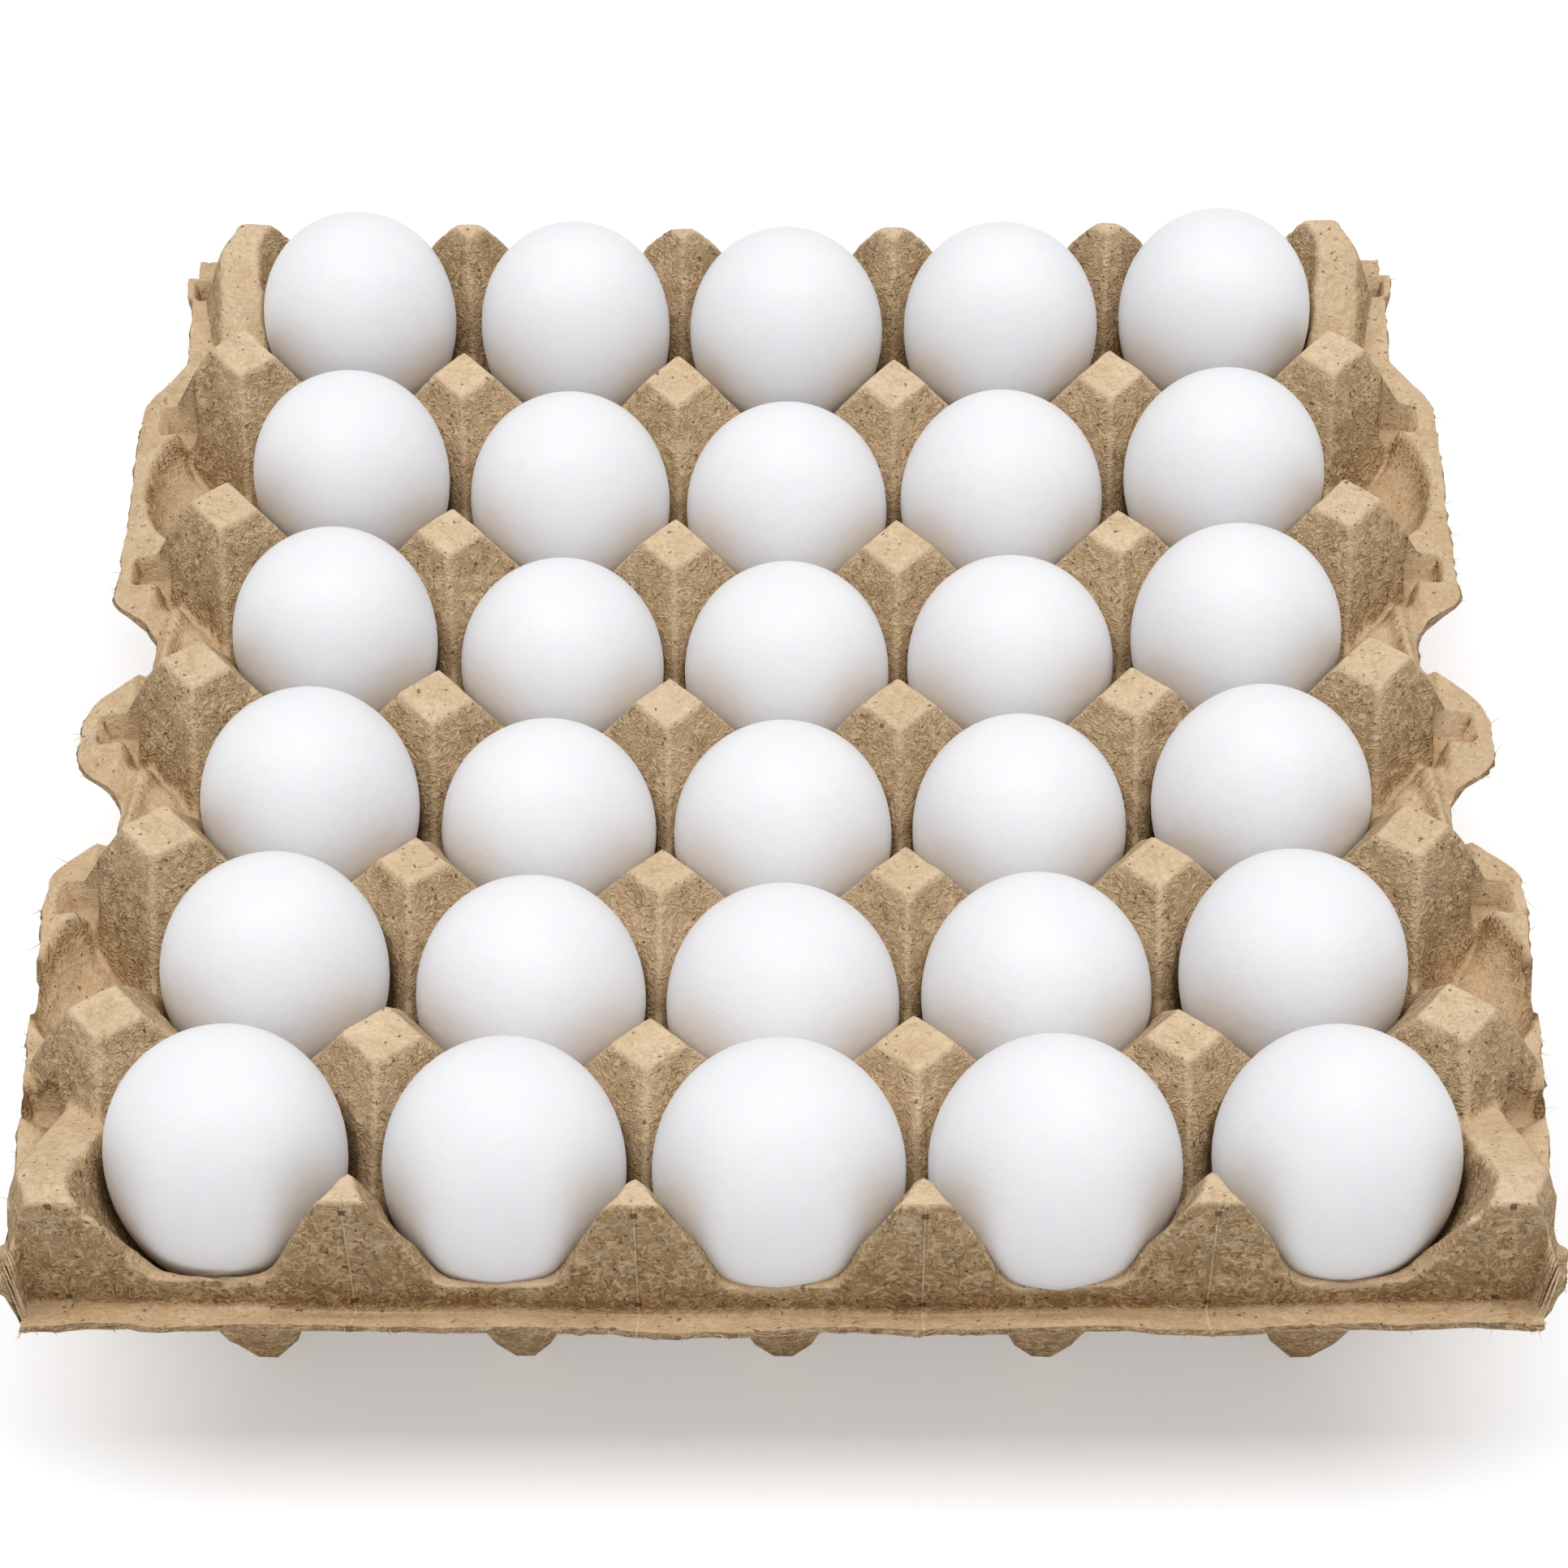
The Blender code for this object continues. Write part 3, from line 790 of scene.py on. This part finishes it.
def build_egg(name, cad_name, material, chance):
    """A smooth egg in the place and size of the CAD egg, a little uneven like a real one."""
    centre, radius = egg_place(cad_name)
    sides, rings = EGG_SIDES, EGG_RINGS
    turn = np.linspace(0, 2 * math.pi, sides, endpoint=False)
    tilt = np.linspace(-math.pi / 2, math.pi / 2, rings + 2)[1:-1]
    mean = (EGG_TOP_RATIO + EGG_POINT_RATIO) / 2
    skew = (EGG_TOP_RATIO - EGG_POINT_RATIO) / 2
    squash = 1 + chance.uniform(-0.008, 0.008)
    blunt = chance.uniform(-0.012, 0.012)
    ring_r = radius * (np.cos(tilt) + blunt * np.cos(3 * tilt))
    ring_z = radius * (mean * np.sin(tilt) + skew * np.sin(tilt) ** 2)
    x = np.outer(ring_r, np.cos(turn)) * squash
    y = np.outer(ring_r, np.sin(turn)) / squash
    z = np.repeat(ring_z[:, None], sides, axis=1)
    points = np.stack([x, y, z], -1).reshape(-1, 3)
    poles = np.array([[0, 0, -radius * EGG_POINT_RATIO], [0, 0, radius * EGG_TOP_RATIO]])
    points = np.concatenate([points, poles])
    shift = chance.uniform(0, 40)
    swell = EGG_SWELL * lumps(points[:, 0], points[:, 1], points[:, 2], 14.0, shift)
    points = points * (1 + swell / radius)[:, None]
    points = points + np.array(centre)
    faces = []
    for r in range(rings - 1):
        for s in range(sides):
            t = (s + 1) % sides
            a, b, c, d = r * sides + s, r * sides + t, (r + 1) * sides + t, (r + 1) * sides + s
            faces += [(a, b, c), (a, c, d)]
    bottom, top = rings * sides, rings * sides + 1
    for s in range(sides):
        t = (s + 1) % sides
        faces.append((bottom, t, s))
        faces.append((top, (rings - 1) * sides + s, (rings - 1) * sides + t))
    return mesh_object(name, points * MM, faces, material)


# ---------------------------------------------------------------- materials


class Shader:
    """A small helper for building one node material."""

    def __init__(self, name, roughness, specular):
        self.material = bpy.data.materials.new(name)
        self.material.use_nodes = True
        self.tree = self.material.node_tree
        self.surface = self.tree.nodes["Principled BSDF"]
        self.surface.inputs["Roughness"].default_value = roughness
        self.surface.inputs["Specular IOR Level"].default_value = specular
        self.place = self.tree.nodes.new("ShaderNodeTexCoord").outputs["Object"]

    def put(self, socket, value):
        if isinstance(value, bpy.types.NodeSocket):
            self.tree.links.new(value, socket)
        elif isinstance(value, tuple) and len(value) == 3 and socket.type == "RGBA":
            socket.default_value = (*value, 1.0)
        else:
            socket.default_value = value

    def math(self, kind, a, b=0.0, clamp=False):
        node = self.tree.nodes.new("ShaderNodeMath")
        node.operation = kind
        node.use_clamp = clamp
        self.put(node.inputs[0], a)
        self.put(node.inputs[1], b)
        return node.outputs[0]

    def times(self, a, b):
        return self.math("MULTIPLY", a, b)

    def plus(self, a, b, clamp=False):
        return self.math("ADD", a, b, clamp)

    def size_of(self, value):
        return self.math("ABSOLUTE", value)

    def attribute(self, name):
        node = self.tree.nodes.new("ShaderNodeAttribute")
        node.attribute_name = name
        return node

    def parts(self, vector):
        """A vector's three parts."""
        node = self.tree.nodes.new("ShaderNodeSeparateXYZ")
        self.tree.links.new(vector, node.inputs[0])
        return node.outputs["X"], node.outputs["Y"], node.outputs["Z"]

    def ramp(self, value, low, high, to_low=0.0, to_high=1.0):
        node = self.tree.nodes.new("ShaderNodeMapRange")
        node.interpolation_type = "SMOOTHSTEP"
        node.clamp = True
        for key, number in (("From Min", low), ("From Max", high), ("To Min", to_low), ("To Max", to_high)):
            node.inputs[key].default_value = number
        self.put(node.inputs["Value"], value)
        return node.outputs["Result"]

    def mix(self, share, a, b, kind="MIX"):
        node = self.tree.nodes.new("ShaderNodeMix")
        node.data_type = "RGBA"
        node.blend_type = kind
        self.put(node.inputs["Factor"], share)
        # A mix node has sockets of every type: its colours are inputs 6 and 7 and output 2.
        self.put(node.inputs[6], a)
        self.put(node.inputs[7], b)
        return node.outputs[2]

    def moved(self, size_mm, offset, stretch=(1.0, 1.0, 1.0)):
        node = self.tree.nodes.new("ShaderNodeMapping")
        node.inputs["Location"].default_value = (offset, offset * 1.7, offset * 0.6)
        node.inputs["Scale"].default_value = tuple(1000.0 / size_mm * s for s in stretch)
        self.tree.links.new(self.place, node.inputs["Vector"])
        return node.outputs["Vector"]

    def noise(self, size_mm, offset, detail=2.0, roughness=0.5, distortion=0.0, stretch=(1.0, 1.0, 1.0)):
        node = self.tree.nodes.new("ShaderNodeTexNoise")
        node.inputs["Scale"].default_value = 1.0
        node.inputs["Detail"].default_value = detail
        node.inputs["Roughness"].default_value = roughness
        node.inputs["Distortion"].default_value = distortion
        self.tree.links.new(self.moved(size_mm, offset, stretch), node.inputs["Vector"])
        return node.outputs["Fac"]

    def spots(self, size_mm, offset, radius, share):
        """Uneven spots in a share of the cells of a Voronoi pattern."""
        node = self.tree.nodes.new("ShaderNodeTexVoronoi")
        node.inputs["Scale"].default_value = 1.0
        wobble = self.tree.nodes.new("ShaderNodeTexNoise")
        wobble.inputs["Scale"].default_value = 1.0
        self.tree.links.new(self.moved(size_mm * 0.45, offset + 3.0), wobble.inputs["Vector"])
        bend = self.tree.nodes.new("ShaderNodeVectorMath")
        bend.operation = "MULTIPLY_ADD"
        bend.inputs[1].default_value = (0.55, 0.55, 0.55)
        self.tree.links.new(wobble.outputs["Color"], bend.inputs[0])
        self.tree.links.new(self.moved(size_mm, offset), bend.inputs[2])
        self.tree.links.new(bend.outputs["Vector"], node.inputs["Vector"])
        spot = self.ramp(node.outputs["Distance"], radius * 0.6, radius, 1.0, 0.0)
        chosen = self.tree.nodes.new("ShaderNodeSeparateColor")
        self.tree.links.new(node.outputs["Color"], chosen.inputs["Color"])
        keep = self.ramp(chosen.outputs[0], share, share + 0.02, 1.0, 0.0)
        return self.math("MULTIPLY", spot, keep)

    def curls(self, size_mm, offset, width, mask_mm, keep, distortion=0.6):
        """Thin curly lines, broken into short fibres."""
        field = self.noise(size_mm, offset, 0.6, 0.5, distortion)
        line = self.ramp(self.math("ABSOLUTE", self.math("SUBTRACT", field, 0.5)), 0.0, width, 1.0, 0.0)
        mask = self.ramp(self.noise(mask_mm, offset + 9.0, 1.0), keep, keep + 0.06)
        return self.math("MULTIPLY", line, mask)

    def swirls(self, size_mm, offset, turns, distortion):
        """Bundles of fibres lying side by side in curves."""
        field = self.noise(size_mm, offset, 0.0, 0.5, distortion)
        wave = self.math("SINE", self.math("MULTIPLY", field, turns))
        return self.ramp(wave, -0.4, 0.95)

    def bump(self, height, distance, strength=1.0):
        node = self.tree.nodes.new("ShaderNodeBump")
        node.inputs["Distance"].default_value = distance
        self.put(node.inputs["Strength"], strength)
        self.tree.links.new(height, node.inputs["Height"])
        self.tree.links.new(node.outputs["Normal"], self.surface.inputs["Normal"])


PULP_LIGHT = (0.77, 0.60, 0.41)
PULP_MIDDLE = (0.68, 0.505, 0.32)
PULP_DARK = (0.42, 0.27, 0.135)
# The colour of painted shade on steep walls and in the cells' depths.
PULP_SHADE = (0.385, 0.222, 0.085)
FIBRE_LIGHT = (0.82, 0.635, 0.40)
FIBRE_DARK = (0.21, 0.11, 0.04)
CUT_EDGE = (0.33, 0.20, 0.095)
SPECK = (0.15, 0.07, 0.025)


def seams_and_holes(s, x, y, z):
    """A seam down the middle of each half post, and small holes near its top and its foot."""
    from_seam = s.math("MODULO", s.plus(x, 10 * PITCH_X), PITCH_X)
    from_seam = s.size_of(s.math("SUBTRACT", from_seam, PITCH_X / 2))
    beyond = s.size_of(y)
    seam = s.times(s.ramp(from_seam, 0.12, 0.45, 1.0, 0.0), s.ramp(beyond, 137.2, 137.8))
    seam = s.times(seam, s.ramp(s.size_of(x), ARCHES_END_X, ARCHES_END_X + 1.0, 1.0, 0.0))
    top_hole = s.ramp(s.size_of(s.plus(z, 1.9)), 0.4, 0.9, 1.0, 0.0)
    foot_hole = s.ramp(s.size_of(s.plus(z, 25.6)), 0.3, 0.8, 1.0, 0.0)
    holes = s.times(s.ramp(from_seam, 0.35, 0.75, 1.0, 0.0), s.ramp(beyond, 137.2, 137.5))
    return seam, s.times(holes, s.math("MAXIMUM", top_hole, foot_hole))


def pulp_material():
    s = Shader("moulded_pulp", 0.93, 0.12)
    x, y, z = s.parts(s.attribute("flat").outputs["Vector"])
    crest = s.attribute("crest").outputs["Fac"]
    cut = s.attribute("cut").outputs["Fac"]
    facing = s.parts(s.tree.nodes.new("ShaderNodeNewGeometry").outputs["Normal"])
    steep = s.ramp(facing[2], 0.1, 0.97, 1.0, 0.0)

    # Clouds, grain, single curled fibres, and bundles of them in two directions.
    broad = s.ramp(s.noise(14.0, 1.0, 3.0, 0.6), 0.35, 0.65)
    cloud = s.ramp(s.noise(3.6, 2.0, 3.0, 0.6), 0.35, 0.7)
    grain = s.noise(0.8, 3.0, 2.0, 0.6)
    light_curls = s.curls(3.0, 4.0, 0.075, 6.0, 0.40)
    fine_curls = s.curls(1.9, 5.0, 0.095, 4.0, 0.40, 0.9)
    long_curls = s.curls(4.6, 12.0, 0.05, 7.0, 0.46, 1.2)
    dark_curls = s.curls(2.4, 6.0, 0.07, 4.4, 0.5)
    curls = s.math("MAXIMUM", light_curls, s.math("MAXIMUM", s.times(fine_curls, 0.75), long_curls))
    patch = s.ramp(s.noise(5.0, 14.0, 1.0), 0.42, 0.58)
    bundles = s.times(s.swirls(4.4, 15.0, 62.0, 0.7), patch)
    bundles = s.plus(bundles, s.times(s.swirls(3.4, 16.0, 48.0, 1.3), s.math("SUBTRACT", 1.0, patch)))
    specks = s.math("MAXIMUM", s.spots(1.9, 7.0, 0.17, 0.36), s.spots(4.2, 8.0, 0.13, 0.4))
    specks = s.math("MAXIMUM", specks, s.spots(2.7, 9.0, 0.14, 0.5))

    # Painted shade: steep walls and the cells' depths are painted dark, where shade falls; level tops stay
    # light, and steep walls are more fibrous.
    colour = s.mix(broad, PULP_MIDDLE, PULP_LIGHT)
    colour = s.mix(s.times(cloud, 0.22), colour, PULP_DARK)
    # Painted highlight: crests and rims are painted lighter, as where they catch the light.
    colour = s.mix(s.ramp(crest, 0.05, 0.6, 0.0, 0.4), colour, PULP_LIGHT)
    depth = s.ramp(z, -30.0, -4.0, 0.38, 0.0)
    colour = s.mix(s.plus(s.times(steep, 0.78), depth, True), colour, PULP_SHADE)
    colour = s.mix(s.times(bundles, s.ramp(steep, 0.0, 1.0, 0.10, 0.34)), colour, FIBRE_LIGHT)
    between = s.math("SUBTRACT", 0.5, bundles, True)
    colour = s.mix(s.times(between, s.ramp(steep, 0.0, 1.0, 0.1, 0.42)), colour, FIBRE_DARK)
    colour = s.mix(s.ramp(grain, 0.4, 0.66, 0.0, 0.30), colour, PULP_DARK)
    colour = s.mix(s.times(curls, s.ramp(steep, 0.0, 1.0, 0.28, 0.5)), colour, FIBRE_LIGHT)
    colour = s.mix(s.times(dark_curls, s.ramp(steep, 0.0, 1.0, 0.2, 0.55)), colour, FIBRE_DARK)
    colour = s.mix(s.times(specks, 0.72), colour, SPECK)

    # The cut edge is darker, with its layers showing.
    layers = s.noise(1.1, 18.0, 3.0, 0.7, 0.0, (0.35, 0.35, 2.2))
    layered = s.mix(s.ramp(layers, 0.35, 0.65), CUT_EDGE, PULP_MIDDLE)
    colour = s.mix(s.ramp(cut, 0.42, 0.62), colour, layered)

    seam, holes = seams_and_holes(s, x, y, z)
    colour = s.mix(s.times(seam, 0.45), colour, FIBRE_LIGHT)
    colour = s.mix(s.times(holes, 0.8), colour, SPECK)
    s.put(s.surface.inputs["Base Color"], colour)

    relief = s.plus(s.times(grain, 0.5), s.times(cloud, 0.5))
    relief = s.plus(relief, s.times(curls, 0.6))
    relief = s.plus(relief, s.times(bundles, s.ramp(steep, 0.0, 1.0, 0.25, 0.65)))
    relief = s.plus(relief, s.times(s.times(layers, cut), 1.5))
    relief = s.plus(relief, seam)
    relief = s.math("SUBTRACT", relief, s.times(dark_curls, 0.5))
    relief = s.math("SUBTRACT", relief, s.times(s.math("MAXIMUM", specks, holes), 1.2))
    s.bump(relief, 0.00045, s.ramp(steep, 0.0, 1.0, 0.45, 1.0))
    return s.material


def fuzz_material():
    s = Shader("loose_fibre", 0.95, 0.1)
    tone = s.ramp(s.noise(3.0, 21.0, 2.0), 0.3, 0.7)
    s.put(s.surface.inputs["Base Color"], s.mix(tone, PULP_MIDDLE, PULP_LIGHT))
    s.bump(s.noise(0.3, 22.0, 1.0), 0.00003)
    return s.material


def egg_material():
    s = Shader("eggshell", 0.5, 0.22)
    s.surface.inputs["Subsurface Weight"].default_value = 0.25
    s.surface.inputs["Subsurface Radius"].default_value = (1.0, 0.55, 0.4)
    s.surface.inputs["Subsurface Scale"].default_value = 0.004
    tone = s.noise(14.0, 31.0, 2.0, 0.5)
    pores = s.noise(0.55, 32.0, 2.0, 0.55)
    waves = s.noise(2.6, 33.0, 2.0, 0.5)
    colour = s.mix(s.ramp(tone, 0.3, 0.7), (0.88, 0.88, 0.9), (0.9, 0.9, 0.917))
    colour = s.mix(s.ramp(pores, 0.3, 0.75, 0.0, 0.10), colour, (0.86, 0.85, 0.85))
    s.put(s.surface.inputs["Base Color"], colour)
    s.put(s.surface.inputs["Roughness"], s.ramp(pores, 0.2, 0.8, 0.42, 0.54))
    s.bump(s.plus(s.times(pores, 0.5), s.times(waves, 0.9)), 0.00012)
    return s.material


def floor_material():
    s = Shader("studio_floor", 0.9, 0.0)
    tone = s.noise(400.0, 41.0, 1.0)
    colour = s.mix(s.ramp(tone, 0.2, 0.8), (0.83, 0.83, 0.835), (0.85, 0.85, 0.855))
    s.put(s.surface.inputs["Base Color"], colour)
    s.surface.inputs["Emission Color"].default_value = (1.0, 1.0, 1.0, 1.0)
    s.surface.inputs["Emission Strength"].default_value = 0.34
    return s.material


# ---------------------------------------------------------------- the scene


def build_floor():
    half, lines = 3.0, 7
    places = np.linspace(-half, half, lines)
    x, y = np.meshgrid(places, places)
    points = np.stack([x, y, np.full_like(x, -0.0002)], -1).reshape(-1, 3)
    index = np.arange(lines * lines).reshape(lines, lines)
    corners = (index[:-1, :-1], index[:-1, 1:], index[1:, 1:], index[1:, :-1])
    faces = np.stack([c.ravel() for c in corners], 1)
    floor = mesh_object("studio_floor", points, faces, floor_material())


def area_light(name, place, target, size, power, colour):
    data = bpy.data.lights.new(name, "AREA")
    data.shape = "RECTANGLE"
    data.size, data.size_y = size
    data.energy = power
    data.color = colour
    made = bpy.data.objects.new(name, data)
    made.location = place
    made.rotation_euler = (Vector(target) - Vector(place)).to_track_quat("-Z", "Y").to_euler()
    bpy.context.collection.objects.link(made)


def build_lights():
    area_light("overhead", (0.0, -0.05, 1.5), (0.0, 0.0, 0.0), (2.1, 0.7), 20.0, (1.0, 1.0, 1.0))
    world = bpy.data.worlds.new("studio")
    world.use_nodes = True
    world.node_tree.nodes["Background"].inputs["Color"].default_value = (0.97, 0.98, 1.0, 1.0)
    world.node_tree.nodes["Background"].inputs["Strength"].default_value = 0.38
    bpy.context.scene.world = world


def build_camera():
    """The camera found from the photograph. Its angles are in radians, its tilt below the horizon."""
    tilt, yaw, roll = CAMERA_TILT, CAMERA_YAW, CAMERA_ROLL
    forward = Vector((math.sin(yaw) * math.cos(tilt), math.cos(yaw) * math.cos(tilt), -math.sin(tilt)))
    right = Vector((math.cos(yaw), -math.sin(yaw), 0.0))
    up = right.cross(forward)
    right, up = math.cos(roll) * right + math.sin(roll) * up, math.cos(roll) * up - math.sin(roll) * right
    turn = Matrix((right, up, -forward)).transposed().to_4x4()
    data = bpy.data.cameras.new("camera")
    data.lens = CAMERA_LENS
    data.sensor_width = 36.0
    data.clip_start = 0.02
    data.clip_end = 20.0
    camera = bpy.data.objects.new("camera", data)
    camera.matrix_world = Matrix.Translation(CAMERA_PLACE) @ turn
    bpy.context.collection.objects.link(camera)
    bpy.context.scene.camera = camera
    bpy.context.scene.view_settings.view_transform = "Standard"


def build():
    pulp = pulp_material()
    tray, under, edge = build_tray(pulp)
    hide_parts("tray")
    for piece in (tray, under):
        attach(piece, "root")
    fuzz = build_fuzz(edge, fuzz_material())
    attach(fuzz, "root")
    shell = egg_material()
    chance = random.Random(12)
    for name in EGG_NAMES:
        egg = build_egg("shell_" + name, name, shell, chance)
        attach(egg, "root")
        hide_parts(name)
    build_floor()
    build_lights()
    build_camera()


build()
